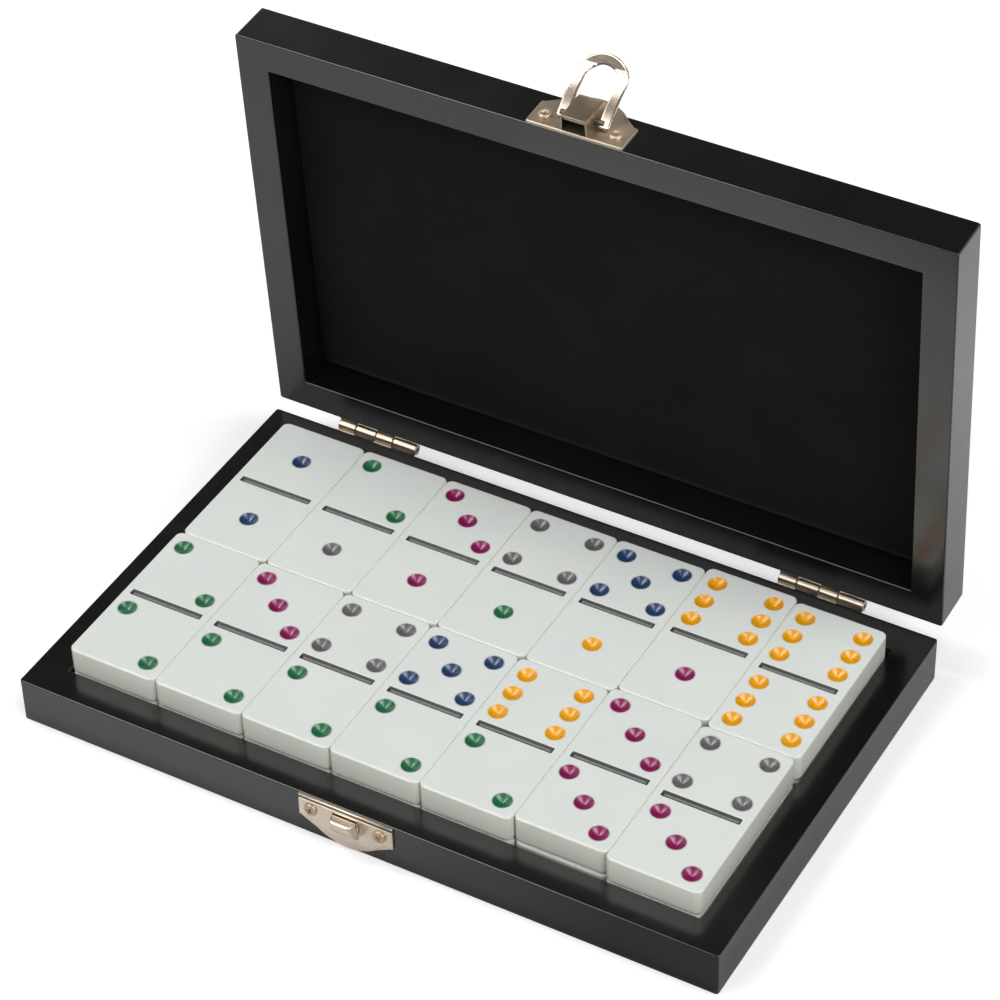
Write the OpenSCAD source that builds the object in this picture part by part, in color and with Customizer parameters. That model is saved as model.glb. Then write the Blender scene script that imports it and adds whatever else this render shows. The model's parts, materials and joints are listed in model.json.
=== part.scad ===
// Domino box: two black wooden halves on a pair of stop hinges, with a catch at the
// front and a full double-six set lying flat in the tray, two layers deep.
// Millimetres. The origin is the middle of the base's underside: +X along the hinge
// line, +Y to the hinged back, +Z up. At rest the lid stands open on its hinge stops
// and the loop of the catch lies back over the lid.

/* [Dominoes] */
// Width of one domino
tile_width = 25.15; // [22:0.05:28]
// Length of one domino
tile_length = 50.5; // [44:0.1:56]
// Thickness of one domino
tile_thickness = 8.4; // [6:0.1:10]
// Corner radius of a domino seen from above
tile_corner = 1.9; // [1.7:0.1:4]
// Rounding around the domino's face with the spots
tile_edge = 0.45; // [0.2:0.05:1.2]
// Rounding around the domino's plain back
tile_back_edge = 1.5; // [0.3:0.05:1.6]
// Gap between neighbouring dominoes
tile_gap = 0.27; // [0.15:0.01:0.6]
// Diameter of a drilled spot
pip_diameter = 5; // [3.5:0.1:5.5]
// Depth of a drilled spot
pip_depth = 0.9; // [0.4:0.05:1.4]
// Sideways distance from the middle to the outer spots
pip_side = 8; // [6:0.1:8.6]
// Lengthwise distance from a half's middle to its outer spots
pip_step = 7.33; // [6:0.01:8.2]
// Shift of the halves' middles away from the dividing groove
half_shift = 0.4; // [0:0.05:0.8]
// Length of the groove that divides a domino
groove_length = 20.6; // [14:0.1:21]
// Width of the dividing groove
groove_width = 1.7; // [0.8:0.1:2.4]
// Depth of the dividing groove
groove_depth = 0.6; // [0.3:0.05:1]

/* [Case] */
// Thickness of the wooden rails
rail = 8.9; // [6:0.1:12]
// Radius of the case's upright corners
case_corner = 0.7; // [0.4:0.1:4]
// Chamfer around the outer edges of the case
edge_ease = 0.25; // [0.1:0.05:1]
// Free length in the tray, beside the dominoes
end_room = 1.53; // [0.6:0.01:4]
// Free depth in the tray, before and behind the dominoes
depth_room = 2.93; // [1.2:0.01:6]
// Thickness of the base's floor panel
floor_panel = 2.9; // [2:0.1:6]
// Thickness of the lining in base and lid
lining = 0.8; // [0.4:0.1:2]
// Thickness of the lid's panel
lid_panel = 2.2; // [1.5:0.1:5]
// Height of the base's rim over the lower dominoes
rim_rise = 1.1; // [0:0.1:2.5]
// Air between the upper dominoes and the lid's lining when the box is shut
lid_room = 2.3; // [0.5:0.1:5]
// Angle at which the hinge stops hold the lid open
lid_open = 86.7; // [60:0.1:110]

/* [Hinges] */
// Length of one hinge
hinge_length = 24.3; // [18:0.1:32]
// Outer diameter of the hinge barrel
barrel = 3; // [2.8:0.1:5]
// Diameter of the hinge pin
hinge_pin = 1.5; // [1:0.1:2]
// Thickness of a hinge leaf
leaf = 0.8; // [0.6:0.05:1.2]
// Height of a leaf on the wood, from its barrel edge
leaf_height = 9; // [6:0.1:9.5]
// Free space between the barrel and the wood behind it
barrel_gap = 0.8; // [0.1:0.05:1.2]
// Height of the hinge axis above the base's rim
hinge_rise = 0.2; // [0:0.05:0.8]
// Left end of the case to the middle of the left hinge
left_inset = 31.1; // [22:0.1:50]
// Right end of the case to the middle of the right hinge
right_inset = 33.5; // [22:0.1:50]
// Gap between neighbouring knuckles
knuckle_gap = 0.25; // [0.1:0.05:0.5]
// Distance of a leaf from the other leaf's knuckles
leaf_clearance = 0.4; // [0.2:0.05:1]

/* [Catch] */
// Distance of the catch from the middle of the front
catch_offset = -2.2; // [-20:0.1:20]
// Width of the two catch plates
plate_width = 26.6; // [25:0.1:36]
// Thickness of the catch plates
plate = 0.8; // [0.5:0.05:1.2]
// Ledge beside the round lobe of a plate
plate_ledge = 2.6; // [1.5:0.1:3.5]
// Height of the lid plate's ears
lid_ear = 8.9; // [7:0.1:10]
// Height of the lid plate at its lobe
lid_lobe = 15.4; // [12.5:0.1:18]
// Height of the base plate's ears
base_ear = 7; // [6:0.1:9]
// Bare wood between the base plate's lobe and the underside
base_margin = 0.8; // [0.2:0.1:2]
// Spread of the two screws of a catch plate
screw_spread = 19.4; // [18:0.1:24]
// Distance of the catch screws from the rim
screw_inset = 3.8; // [3:0.1:5]
// Width of the folded housing on the lid plate
housing_width = 7.2; // [5:0.1:8.5]
// Height of the housing over its plate
housing_height = 3.7; // [3:0.1:6]
// Length of the housing
housing_length = 10.4; // [8:0.1:12]
// Distance of the housing's open end from the rim
housing_inset = 0.6; // [0.2:0.1:2]
// Sheet thickness of the housing
sheet = 0.5; // [0.4:0.05:1]
// Diameter of the loop's pivot pegs
peg = 1.6; // [1:0.1:2]
// Height of the loop's pivot over the wood
pivot_height = 2.3; // [2.2:0.1:3]
// Distance of the loop's pivot from the rim
pivot_inset = 5; // [3.5:0.1:7]
// Free space between the housing and each arm of the loop
loop_side_gap = 0.25; // [0.1:0.05:0.6]
// How far the loop's arms run past their pivot pegs
loop_heel = 0.4; // [0.2:0.05:0.8]
// Width of the loop's flat bar
loop_bar = 3; // [2:0.1:3.4]
// Thickness of the loop's bar
loop_sheet = 0.7; // [0.5:0.05:1]
// Length of the loop from its pivot to its bend
loop_arm = 13.7; // [12:0.1:14.2]
// Length of the loop past its bend
loop_tip = 3.7; // [3.2:0.1:4.2]
// Bend of the loop's tip
loop_bend = 38; // [20:1:50]
// Angle of the loop over the lid at rest
loop_rest = 30; // [10:1:80]
// Width of the nose on the base plate
nose_width = 6.8; // [4:0.1:7.2]
// Reach of the nose from its plate
nose_reach = 3; // [2:0.1:3.4]
// Distance from the rim to the top of the nose
nose_inset = 2.3; // [1.5:0.1:3]
// Height of the nose along its plate
nose_height = 6; // [4:0.1:6.4]

/* [Screws] */
// Diameter of the screw heads
screw_head = 3.3; // [2.6:0.1:4]
// Height of the screw heads
head_height = 1; // [0.6:0.1:1.4]
// Diameter of the screw shanks
screw_shank = 1.6; // [1:0.1:2]
// Depth of the shanks in the wood
screw_depth = 5.5; // [3:0.1:7.5]

/* [Hidden] */
$fn = 32;
cut = 0.05;                      // how far a cutting tool runs past the face it opens
columns = 7;
layers = 2;
loose_column = 5;                // this pair of dominoes lies nearer the hinges
run_clearance = 0.05;            // radial clearance of a turning pin

inner_length = columns * tile_width + (columns - 1) * tile_gap + end_room;
inner_depth = 2 * tile_length + tile_gap + depth_room;
case_length = inner_length + 2 * rail;
case_depth = inner_depth + 2 * rail;
floor_top = floor_panel + lining;
base_height = floor_top + tile_thickness + rim_rise;
lid_cavity = tile_thickness - rim_rise + lid_room;
lid_height = lid_cavity + lining + lid_panel;
front_y = -case_depth / 2;
back_y = case_depth / 2;

axis_y = back_y + barrel_gap + barrel / 2;
axis_z = base_height + hinge_rise;
left_hinge_x = left_inset - case_length / 2;
right_hinge_x = case_length / 2 - right_inset;
// Knuckles from the left end, as shares of the hinge: lid, base, lid, base
knuckle_marks = [0, 0.22, 0.48, 0.7, 1];
hinge_start = -hinge_length / 2;
leaf_start = barrel / 2 + leaf_clearance;
leaf_screw_spread = 0.58 * hinge_length;
leaf_screw_height = leaf_start + (leaf_height - leaf_start) / 2;

loop_inner = housing_width / 2 + loop_side_gap;
loop_outer = loop_inner + loop_bar;
loop_length = loop_arm + loop_tip;
loop_foot = peg / 2 + loop_heel;
lobe_half_width = plate_width / 2 - plate_ledge;
base_lobe = base_height - base_margin;
nose_top = base_height - nose_inset;

// The double-six set as it lies: [half next to the hinges, half next to the front],
// from the left, for each row of each layer
UPPER_BACK = [[1, 1], [2, 1], [3, 1], [4, 1], [5, 1], [6, 1], [6, 6]];
UPPER_FRONT = [[2, 2], [3, 2], [4, 2], [5, 2], [6, 2], [3, 3], [4, 3]];
LOWER_BACK = [[0, 0], [1, 0], [2, 0], [3, 0], [4, 0], [5, 0], [6, 0]];
LOWER_FRONT = [[5, 3], [6, 3], [4, 4], [5, 4], [6, 4], [5, 5], [6, 5]];
ROWS = [[LOWER_FRONT, LOWER_BACK], [UPPER_FRONT, UPPER_BACK]];
LAYERS = ["lower", "upper"];
SIDES = ["front", "back"];

function tile_name(layer, side, column) =
    str("domino_", LAYERS[layer], "_", SIDES[side], "_", column + 1);

TILES = [for (layer = [0 : layers - 1], side = [0, 1], column = [0 : columns - 1])
    [layer, side, column]];

// ---- Placing ----

// The lid's pieces are drawn shut and then swung open about the hinge axis
module swing_lid() {
    translate([0, axis_y, axis_z]) rotate([-lid_open, 0, 0]) translate([0, -axis_y, -axis_z])
        children();
}

// Catch frame: X along the front, Y out of the wood, Z from the rim away along the face
module on_lid_front() {
    swing_lid() translate([catch_offset, front_y, base_height]) mirror([0, 1, 0]) children();
}

module on_base_front() {
    translate([catch_offset, front_y, base_height]) mirror([0, 1, 0]) children();
}

// Hinge frame: the axis along X, Y out of the wood's back face, Z up
module at_hinge(x) {
    translate([x, axis_y, axis_z]) children();
}

// ---- Case ----

module rounded_plan(length, depth, radius) {
    square([length - 2 * radius, depth], center = true);
    square([length, depth - 2 * radius], center = true);
    for (x = [-1, 1], y = [-1, 1])
        translate([x * (length / 2 - radius), y * (depth / 2 - radius)]) circle(radius);
}

// A long section with its four edges chamfered, standing on Y = 0
module eased_section(width, height) {
    side = width / 2;
    translate([0, height / 2]) polygon([
        for (q = [[1, -1], [1, 1], [-1, 1], [-1, -1]])
            for (k = q[0] * q[1] > 0 ? [0, 1] : [1, 0])
                [q[0] * (side - (k == 1 ? edge_ease : 0)),
                 q[1] * (height / 2 - (k == 0 ? edge_ease : 0))]]);
}

// A block of the case, its outer edges eased above and below
module case_block(height) {
    intersection() {
        linear_extrude(height) rounded_plan(case_length, case_depth, case_corner);
        translate([-case_length, 0, 0]) rotate([90, 0, 90])
            linear_extrude(2 * case_length) eased_section(case_depth, height);
        translate([0, case_depth, 0]) rotate([90, 0, 0])
            linear_extrude(2 * case_depth) eased_section(case_length, height);
    }
}

// side: "front", "back", "left" or "right"
module rail_region(side, height) {
    inner_y = case_depth / 2 - rail;
    if (side == "front")
        translate([-case_length, -case_depth, -cut])
            cube([2 * case_length, case_depth - inner_y, height + 2 * cut]);
    if (side == "back")
        translate([-case_length, inner_y, -cut])
            cube([2 * case_length, case_depth, height + 2 * cut]);
    if (side == "left")
        translate([-case_length, -inner_y, -cut])
            cube([case_length - inner_length / 2, 2 * inner_y, height + 2 * cut]);
    if (side == "right")
        translate([inner_length / 2, -inner_y, -cut])
            cube([case_length, 2 * inner_y, height + 2 * cut]);
}

module base_rail(side) {
    color([0.10, 0.10, 0.09]) difference() {
        intersection() {
            case_block(base_height);
            rail_region(side, base_height);
        }
        if (side == "front") on_base_front() base_catch_shanks();
        if (side == "back") base_hinge_shanks();
    }
}

module base_front_rail() { base_rail("front"); }

module base_back_rail() { base_rail("back"); }

module base_left_rail() { base_rail("left"); }

module base_right_rail() { base_rail("right"); }

module base_floor() {
    color([0.09, 0.09, 0.08])
        linear_extrude(floor_panel) square([inner_length, inner_depth], center = true);
}

module base_lining() {
    color([0.07, 0.08, 0.06]) translate([0, 0, floor_panel])
        linear_extrude(lining) square([inner_length, inner_depth], center = true);
}

module lid_rail(side) {
    color([0.13, 0.13, 0.12]) difference() {
        swing_lid() translate([0, 0, base_height]) intersection() {
            case_block(lid_height);
            rail_region(side, lid_height);
        }
        if (side == "front") on_lid_front() lid_catch_shanks();
        if (side == "back") lid_hinge_shanks();
    }
}

module lid_front_rail() { lid_rail("front"); }

module lid_back_rail() { lid_rail("back"); }

module lid_left_rail() { lid_rail("left"); }

module lid_right_rail() { lid_rail("right"); }

module lid_panel_board() {
    color([0.10, 0.10, 0.09]) swing_lid()
        translate([0, 0, base_height + lid_cavity + lining])
            linear_extrude(lid_panel) square([inner_length, inner_depth], center = true);
}

module lid_lining() {
    color([0.07, 0.08, 0.06]) swing_lid()
        translate([0, 0, base_height + lid_cavity])
            linear_extrude(lining) square([inner_length, inner_depth], center = true);
}

// ---- Screws ----

// A pan-head screw standing on Z = 0, its shank running down
module screw() {
    color([0.78, 0.70, 0.60]) {
        difference() {
            union() {
                cylinder(h = head_height / 2, d = screw_head);
                translate([0, 0, head_height / 2])
                    cylinder(h = head_height / 2, d1 = screw_head, d2 = 0.62 * screw_head);
            }
            for (turn = [0, 90])
                rotate(turn) translate([0, 0, head_height])
                    cube([0.62 * screw_head, 0.16 * screw_head, head_height], center = true);
        }
        mirror([0, 0, 1]) cylinder(h = screw_depth, d = screw_shank);
    }
}

// The hole that a screw's shank fills
module shank_hole(above) {
    translate([0, 0, -screw_depth]) cylinder(h = screw_depth + above, d = screw_shank);
}

// Children are drawn at the two screws of a catch plate, +Z out of the wood
module at_catch_screws() {
    for (x = [-1, 1])
        translate([x * screw_spread / 2, plate, 0]) rotate([-90, 0, 0]) children();
}

module lid_catch_shanks() {
    translate([0, 0, screw_inset]) at_catch_screws() shank_hole(cut);
}

module base_catch_shanks() {
    translate([0, 0, -screw_inset]) at_catch_screws() shank_hole(cut);
}

// Children are drawn at the two screws of a hinge leaf; up is 1 on the lid, -1 on the base
module at_leaf_screws(up) {
    for (x = [-1, 1])
        translate([x * leaf_screw_spread / 2, leaf - barrel / 2 - barrel_gap, up * leaf_screw_height])
            rotate([-90, 0, 0]) children();
}

module at_both_hinges() {
    for (x = [left_hinge_x, right_hinge_x]) at_hinge(x) children();
}

module base_hinge_shanks() {
    at_both_hinges() at_leaf_screws(-1) shank_hole(cut);
}

module lid_hinge_shanks() {
    swing_lid() at_both_hinges() at_leaf_screws(1) shank_hole(cut);
}

module base_hinge_screws() {
    at_both_hinges() at_leaf_screws(-1) screw();
}

module lid_hinge_screws() {
    swing_lid() at_both_hinges() at_leaf_screws(1) screw();
}

module catch_lid_screws() {
    on_lid_front() translate([0, 0, screw_inset]) at_catch_screws() screw();
}

module catch_base_screws() {
    on_base_front() translate([0, 0, -screw_inset]) at_catch_screws() screw();
}

// ---- Hinges ----

// Knuckle number i of a leaf: a tube round the axis, on a tab from the leaf
module knuckle(i, up, bore) {
    start = hinge_start + knuckle_marks[i] * hinge_length + knuckle_gap / 2;
    length = (knuckle_marks[i + 1] - knuckle_marks[i]) * hinge_length - knuckle_gap;
    face = -barrel / 2 - barrel_gap;
    difference() {
        union() {
            translate([start, 0, 0]) rotate([0, 90, 0]) cylinder(h = length, d = barrel);
            translate([start, face, up > 0 ? 0 : -leaf_start])
                cube([length, leaf, leaf_start]);
            translate([start, face, up > 0 ? 0 : -leaf])
                cube([length, -face, leaf]);
        }
        translate([start - cut, 0, 0]) rotate([0, 90, 0])
            cylinder(h = length + 2 * cut, d = bore);
    }
}

// up is 1 for the lid's leaf and -1 for the base's leaf
module hinge_leaf(up) {
    bore = up > 0 ? hinge_pin + 2 * run_clearance : hinge_pin;
    color([0.78, 0.70, 0.60]) difference() {
        union() {
            for (i = up > 0 ? [0, 2] : [1, 3]) knuckle(i, up, bore);
            translate([hinge_start + knuckle_gap / 2, -barrel / 2 - barrel_gap,
                       up > 0 ? leaf_start : -leaf_height])
                cube([hinge_length - knuckle_gap, leaf, leaf_height - leaf_start]);
        }
        at_leaf_screws(up) shank_hole(cut);
    }
}

module hinge_pin_rod() {
    color([0.70, 0.62, 0.52])
        translate([hinge_start + knuckle_gap / 2, 0, 0]) rotate([0, 90, 0])
            cylinder(h = hinge_length - knuckle_gap, d = hinge_pin);
}

module left_hinge_base_leaf() { at_hinge(left_hinge_x) hinge_leaf(-1); }

module left_hinge_lid_leaf() { swing_lid() at_hinge(left_hinge_x) hinge_leaf(1); }

module left_hinge_pin() { at_hinge(left_hinge_x) hinge_pin_rod(); }

module right_hinge_base_leaf() { at_hinge(right_hinge_x) hinge_leaf(-1); }

module right_hinge_lid_leaf() { swing_lid() at_hinge(right_hinge_x) hinge_leaf(1); }

module right_hinge_pin() { at_hinge(right_hinge_x) hinge_pin_rod(); }

// ---- Catch ----

// A catch plate's outline in X and Z: square ears at the rim and a round lobe beyond them
module plate_outline(ear, lobe) {
    rise = lobe - ear;
    radius = (lobe_half_width * lobe_half_width + rise * rise) / (2 * rise);
    translate([-plate_width / 2, 0]) square([plate_width, ear]);
    intersection() {
        translate([0, lobe - radius]) circle(radius, $fn = 96);
        translate([-plate_width / 2, 0]) square([plate_width, 2 * lobe]);
    }
}

// The sheet of a catch plate on its wood; up is 1 on the lid and -1 on the base
module plate_sheet(ear, lobe, up) {
    mirror([0, 0, up > 0 ? 0 : 1])
        translate([0, plate, 0]) rotate([90, 0, 0])
            linear_extrude(plate) plate_outline(ear, lobe);
}

module catch_lid_plate() {
    color([0.78, 0.70, 0.60]) on_lid_front() difference() {
        plate_sheet(lid_ear, lid_lobe, 1);
        lid_catch_shanks();
    }
}

// The folded housing: open at the rim, rolled down at its far end, with the pivot holes
module catch_housing() {
    roll = housing_height - sheet;
    color([0.72, 0.64, 0.55]) on_lid_front() difference() {
        translate([-housing_width / 2, plate, housing_inset]) {
            cube([housing_width, housing_height, housing_length - roll]);
            cube([housing_width, sheet, housing_length]);
            translate([0, sheet, housing_length - roll])
                intersection() {
                    rotate([0, 90, 0]) cylinder(h = housing_width, r = roll, $fn = 48);
                    cube([housing_width, roll, roll]);
                }
        }
        translate([-housing_width / 2 + sheet, plate + sheet / 2, housing_inset - cut])
            cube([housing_width - 2 * sheet, housing_height - 1.5 * sheet,
                  housing_length - roll + cut]);
        translate([-housing_width, pivot_height, pivot_inset]) rotate([0, 90, 0])
            cylinder(h = 2 * housing_width, d = peg + 2 * run_clearance);
    }
}

// The loop seen square to its arms: X across, Y along the arms from the pivot
module loop_outline() {
    reach = loop_arm + loop_tip * cos(loop_bend);
    outer_bow = reach - loop_outer;
    inner_bow = reach - loop_bar * cos(loop_bend) - loop_inner;
    difference() {
        union() {
            translate([-loop_outer, -loop_foot]) square([2 * loop_outer, loop_foot + outer_bow]);
            translate([0, outer_bow]) circle(loop_outer, $fn = 96);
        }
        translate([-loop_inner, -loop_foot - cut])
            square([2 * loop_inner, loop_foot + inner_bow + cut]);
        translate([0, inner_bow]) circle(loop_inner, $fn = 96);
    }
}

// The loop seen from its side: a strip along Z whose tip bends towards +Y
module loop_profile() {
    half = loop_sheet / 2;
    mitre = half * tan(loop_bend / 2);
    end = loop_tip + loop_sheet;
    end_y = end * sin(loop_bend);
    end_z = loop_arm + end * cos(loop_bend);
    polygon([[half, -loop_foot], [half, loop_arm - mitre],
             [end_y + half * cos(loop_bend), end_z - half * sin(loop_bend)],
             [end_y - half * cos(loop_bend), end_z + half * sin(loop_bend)],
             [-half, loop_arm + mitre], [-half, -loop_foot]]);
}

module loop_metal() {
    wide = 3 * loop_outer;
    inside = housing_width / 2 - sheet;
    intersection() {
        translate([-wide / 2, 0, 0]) rotate([90, 0, 90]) linear_extrude(wide) loop_profile();
        translate([0, loop_length, 0]) rotate([90, 0, 0])
            linear_extrude(2 * loop_length) loop_outline();
    }
    for (side = [-1, 1])
        mirror([side < 0 ? 1 : 0, 0, 0]) translate([inside, 0, 0]) rotate([0, 90, 0])
            cylinder(h = loop_inner - inside + 0.6 * loop_bar, d = peg);
}

module catch_loop() {
    color([0.80, 0.72, 0.62]) on_lid_front()
        translate([0, pivot_height, pivot_inset]) rotate([-loop_rest, 0, 0]) loop_metal();
}

// The nose that the loop hooks under: its section in Y and Z, run across the plate
module nose() {
    translate([-nose_width / 2, 0, 0]) rotate([90, 0, 90]) linear_extrude(nose_width)
        polygon([[plate / 2, 0], [plate + 0.85 * nose_reach, -0.08 * nose_height],
                 [plate + nose_reach, -0.18 * nose_height],
                 [plate + 0.92 * nose_reach, -0.42 * nose_height],
                 [plate + 0.55 * nose_reach, -0.75 * nose_height],
                 [plate, -nose_height], [plate / 2, -nose_height]]);
}

module catch_base_plate() {
    color([0.78, 0.70, 0.60]) on_base_front() difference() {
        union() {
            plate_sheet(base_ear, base_lobe, -1);
            translate([0, 0, -nose_inset]) nose();
        }
        base_catch_shanks();
    }
}

// ---- Dominoes ----

// The spots of one half, as places in steps of pip_side and pip_step
function spots(count) =
    count == 0 ? [] :
    count == 1 ? [[0, 0]] :
    count == 2 ? [[-1, 1], [1, -1]] :
    count == 3 ? concat(spots(1), spots(2)) :
    count == 4 ? [for (x = [-1, 1], y = [-1, 1]) [x, y]] :
    count == 5 ? concat(spots(1), spots(4)) :
    [for (x = [-1, 1], y = [-1, 0, 1]) [x, y]];

// The domino's section across a side: softly rounded at its back, crisper at its face
module tile_section(width) {
    top = tile_thickness / 2;
    back = tile_back_edge;
    square([width - 2 * back, tile_thickness], center = true);
    translate([-width / 2, back - top]) square([width, tile_thickness - back - tile_edge]);
    translate([tile_edge - width / 2, 0]) square([width - 2 * tile_edge, top]);
    for (side = [-1, 1]) {
        translate([side * (width / 2 - tile_edge), top - tile_edge]) circle(tile_edge);
        translate([side * (width / 2 - back), back - top]) circle(back);
    }
}

module tile_body() {
    intersection() {
        translate([0, 0, -tile_thickness / 2])
            linear_extrude(tile_thickness) rounded_plan(tile_width, tile_length, tile_corner);
        rotate([90, 0, 0]) translate([0, 0, -tile_length])
            linear_extrude(2 * tile_length) tile_section(tile_width);
        rotate([90, 0, 90]) translate([0, 0, -tile_width])
            linear_extrude(2 * tile_width) tile_section(tile_length);
    }
}

module spot_tools(count) {
    for (s = spots(count))
        translate([s[0] * pip_side, s[1] * pip_step, tile_thickness / 2 - pip_depth])
            cylinder(h = pip_depth + cut, d1 = 0.3 * pip_diameter,
                     d2 = pip_diameter * (1 + 0.7 * cut / pip_depth));
}

module domino(values) {
    half_middle = tile_length / 4 + half_shift;
    color([0.93, 0.94, 0.91]) difference() {
        tile_body();
        translate([0, half_middle, 0]) spot_tools(values[0]);
        translate([0, -half_middle, 0]) spot_tools(values[1]);
        translate([-groove_length / 2, -groove_width / 2, tile_thickness / 2 - groove_depth])
            cube([groove_length, groove_width, groove_depth + cut]);
    }
}

// The rows lie a little askew: the back row to the right, one pair nearer the hinges
function tile_x(side, column) =
    (column - (columns - 1) / 2) * (tile_width + tile_gap)
    + (side == 1 ? 0.45 : -0.1) * end_room;

function tile_y(side, column) =
    -inner_depth / 2 + 0.2 * depth_room + tile_length / 2
    + side * (tile_length + tile_gap)
    + (column == loose_column ? 0.45 * depth_room : 0);

module placed_domino(layer, side, column) {
    translate([tile_x(side, column), tile_y(side, column),
               floor_top + (layer + 0.5) * tile_thickness])
        domino(ROWS[layer][side][column]);
}

// ---- Drawing ----

base_front_rail();
base_back_rail();
base_left_rail();
base_right_rail();
base_floor();
base_lining();
lid_front_rail();
lid_back_rail();
lid_left_rail();
lid_right_rail();
lid_panel_board();
lid_lining();
left_hinge_base_leaf();
left_hinge_lid_leaf();
left_hinge_pin();
right_hinge_base_leaf();
right_hinge_lid_leaf();
right_hinge_pin();
base_hinge_screws();
lid_hinge_screws();
catch_lid_plate();
catch_housing();
catch_loop();
catch_lid_screws();
catch_base_plate();
catch_base_screws();
for (t = TILES)
    placed_domino(t[0], t[1], t[2]);
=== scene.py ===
"""Looks of the domino box: lacquered case, felt linings, nickel hardware and the
moulded dominoes with their painted spots, in a plain white studio."""
import json
import math

import bmesh
import bpy
from mathutils import Matrix, Vector, geometry


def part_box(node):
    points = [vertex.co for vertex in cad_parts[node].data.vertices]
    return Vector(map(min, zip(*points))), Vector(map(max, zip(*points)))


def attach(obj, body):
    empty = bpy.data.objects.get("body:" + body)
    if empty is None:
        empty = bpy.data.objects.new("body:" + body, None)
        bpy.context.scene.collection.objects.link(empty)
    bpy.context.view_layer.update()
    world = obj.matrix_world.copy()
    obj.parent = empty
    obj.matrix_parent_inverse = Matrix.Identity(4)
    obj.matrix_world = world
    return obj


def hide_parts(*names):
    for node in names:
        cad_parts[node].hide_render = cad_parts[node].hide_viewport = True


MM = 0.001

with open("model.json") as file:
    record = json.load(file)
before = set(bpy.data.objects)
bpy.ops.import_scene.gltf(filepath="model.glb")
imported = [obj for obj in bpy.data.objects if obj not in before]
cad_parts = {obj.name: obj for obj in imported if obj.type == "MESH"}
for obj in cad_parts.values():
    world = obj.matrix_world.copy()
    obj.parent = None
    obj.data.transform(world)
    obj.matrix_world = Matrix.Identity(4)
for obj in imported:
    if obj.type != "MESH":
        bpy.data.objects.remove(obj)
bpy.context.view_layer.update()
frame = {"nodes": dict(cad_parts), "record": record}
record = frame["record"]
nodes = frame["nodes"]
joints = {joint["name"]: joint for joint in record["behaviour"]["joints"]}


# ---------------------------------------------------------------- measures

def corners(node):
    low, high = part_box(node)
    return Vector(low), Vector(high)


base_rail_low, base_rail_high = corners("base_front_rail")
CASE_LENGTH = base_rail_high.x - base_rail_low.x
CASE_DEPTH = 2 * -base_rail_low.y
RAIL = base_rail_high.y - base_rail_low.y
BASE_HEIGHT = base_rail_high.z

lid_joint = joints["lid_hinge"]
HINGE_POINT = Vector(lid_joint["pos_m"])
LID_OPEN = math.radians(-lid_joint["range_deg"][0])
# Carries a point of the shut lid to where it is at rest, standing open
SWING = (Matrix.Translation(HINGE_POINT)
         @ Matrix.Rotation(LID_OPEN, 4, Vector(lid_joint["axis"]))
         @ Matrix.Translation(-HINGE_POINT))
UNSWING = SWING.inverted()


def shut_corners(node):
    """The box that a node of the lid fills when the lid is shut."""
    points = [UNSWING @ (nodes[node].matrix_world @ v.co) for v in nodes[node].data.vertices]
    low = Vector([min(p[i] for p in points) for i in range(3)])
    high = Vector([max(p[i] for p in points) for i in range(3)])
    return low, high


lid_rail_low, lid_rail_high = shut_corners("lid_left_rail")
LID_HEIGHT = lid_rail_high.z - lid_rail_low.z
lid_felt_low, lid_felt_high = shut_corners("lid_lining")


# ---------------------------------------------------------------- materials

def srgb(red, green, blue):
    """A colour seen on screen, 0 to 255, as the linear values that a shader takes."""
    def linear(value):
        value /= 255
        return value / 12.92 if value <= 0.04045 else ((value + 0.055) / 1.055) ** 2.4
    return (linear(red), linear(green), linear(blue), 1)


def grey(value):
    return (value, value, value, 1)


class Nodes:
    """A node tree, with short calls for the nodes that a look is made of."""

    def __init__(self, tree):
        self.tree = tree

    def add(self, kind, **values):
        node = self.tree.nodes.new(kind)
        for key, value in values.items():
            setattr(node, key, value)
        return node

    def link(self, source, target):
        self.tree.links.new(source, target)

    def result_of(self, operation, first, second):
        """One arithmetic operation on two values."""
        node = self.add("ShaderNodeMath", operation=operation)
        self.link(first, node.inputs[0])
        self.link(second, node.inputs[1])
        return node.outputs[0]

    def span(self, value, low, high, start=0.0, end=1.0):
        """A value that goes from low to high while another goes from start to end."""
        node = self.add("ShaderNodeMapRange")
        node.inputs["From Min"].default_value = start
        node.inputs["From Max"].default_value = end
        node.inputs["To Min"].default_value = low
        node.inputs["To Max"].default_value = high
        self.link(value, node.inputs["Value"])
        return node.outputs["Result"]


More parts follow.
